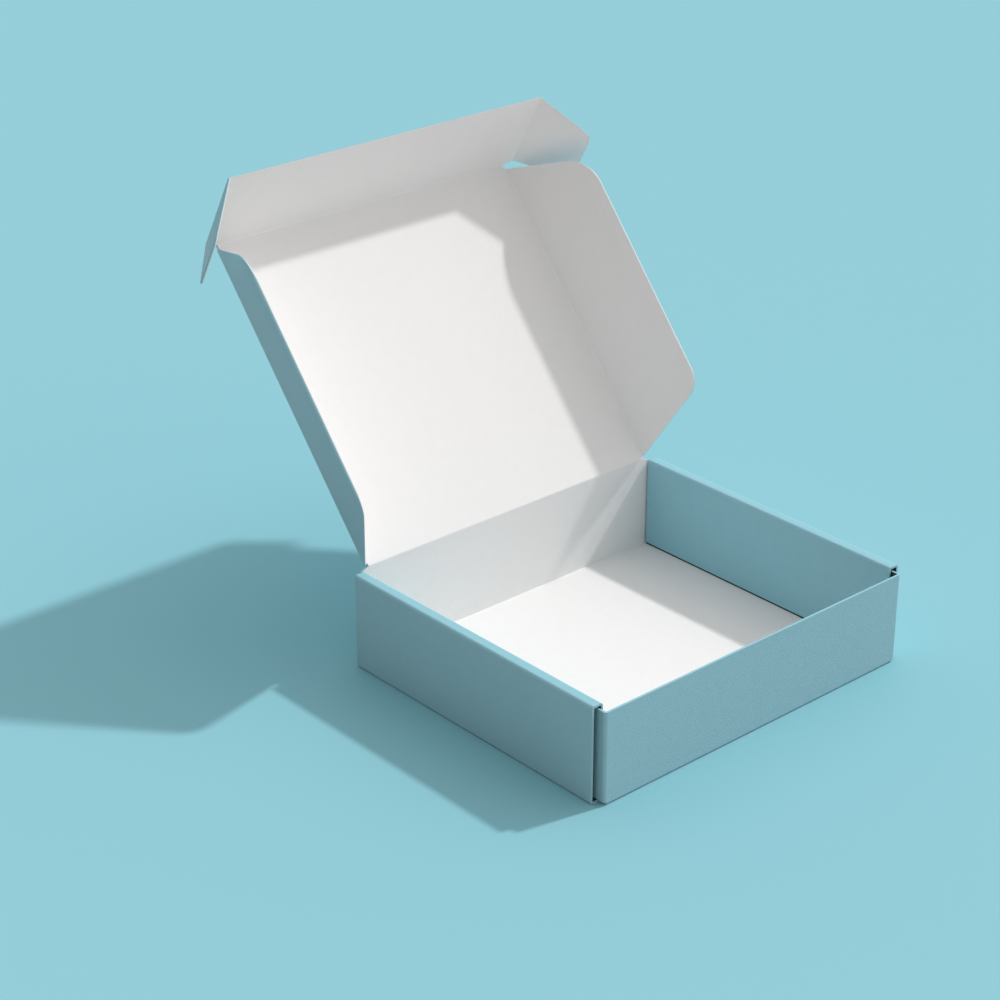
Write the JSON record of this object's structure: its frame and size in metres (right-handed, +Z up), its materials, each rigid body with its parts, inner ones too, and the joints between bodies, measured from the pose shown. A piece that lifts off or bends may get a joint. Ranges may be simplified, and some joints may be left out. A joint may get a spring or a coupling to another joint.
{
  "type": "corrugated mailer box",
  "caption": "Shallow roll-end mailer box of fine-fluted card, standing open: rolled double side walls, hinged lid with side wings, tuck flap with end tabs; coloured outside, white inside.",
  "frame": {"origin": "middle of the tray's underside, on the surface it stands on", "axes": "+Z up; -Y towards the low front wall; +Y towards the back wall that carries the lid; +X to the right seen from the front"},
  "size_m": [0.3086, 0.3609, 0.2879],
  "materials": {
    "card_sheet": "matt printed kraft liner"
  },
  "bodies": {
    "tray": {"tray": "card_sheet"},
    "lid": {"lid_panel": "card_sheet"},
    "wing_left": {"lid_wing_left": "card_sheet"},
    "wing_right": {"lid_wing_right": "card_sheet"},
    "tuck": {"tuck_flap": "card_sheet"},
    "tab_left": {"tuck_tab_left": "card_sheet"},
    "tab_right": {"tuck_tab_right": "card_sheet"}
  },
  "joints": [
    {"name": "lid_hinge", "type": "hinge", "parent": "tray", "child": "lid", "pos_m": [0, 0.10875, 0.0654], "axis": [1, 0, 0], "range_deg": [-30, 130]},
    {"name": "wing_left_fold", "type": "hinge", "parent": "lid", "child": "wing_left", "pos_m": [-0.1186, 0.17912, 0.15043], "axis": [0, 0.6428, 0.766], "range_deg": [-69, 45]},
    {"name": "wing_right_fold", "type": "hinge", "parent": "lid", "child": "wing_right", "pos_m": [0.1186, 0.17912, 0.15043], "axis": [0, -0.6428, -0.766], "range_deg": [-69, 45]},
    {"name": "tuck_fold", "type": "hinge", "parent": "lid", "child": "tuck", "pos_m": [0, 0.25007, 0.23499], "axis": [1, 0, 0], "range_deg": [-69, 21]},
    {"name": "tab_left_fold", "type": "hinge", "parent": "tuck", "child": "tab_left", "pos_m": [-0.1262, 0.23553, 0.26122], "axis": [0, -0.4848, 0.8746], "range_deg": [-50, 0]},
    {"name": "tab_right_fold", "type": "hinge", "parent": "tuck", "child": "tab_right", "pos_m": [0.1262, 0.23553, 0.26122], "axis": [0, 0.4848, -0.8746], "range_deg": [-50, 0]}
  ],
  "couplings": [
    {"joint": "wing_left_fold", "follows": "lid_hinge", "ratio": 0.31},
    {"joint": "wing_right_fold", "follows": "lid_hinge", "ratio": 0.31}
  ]
}
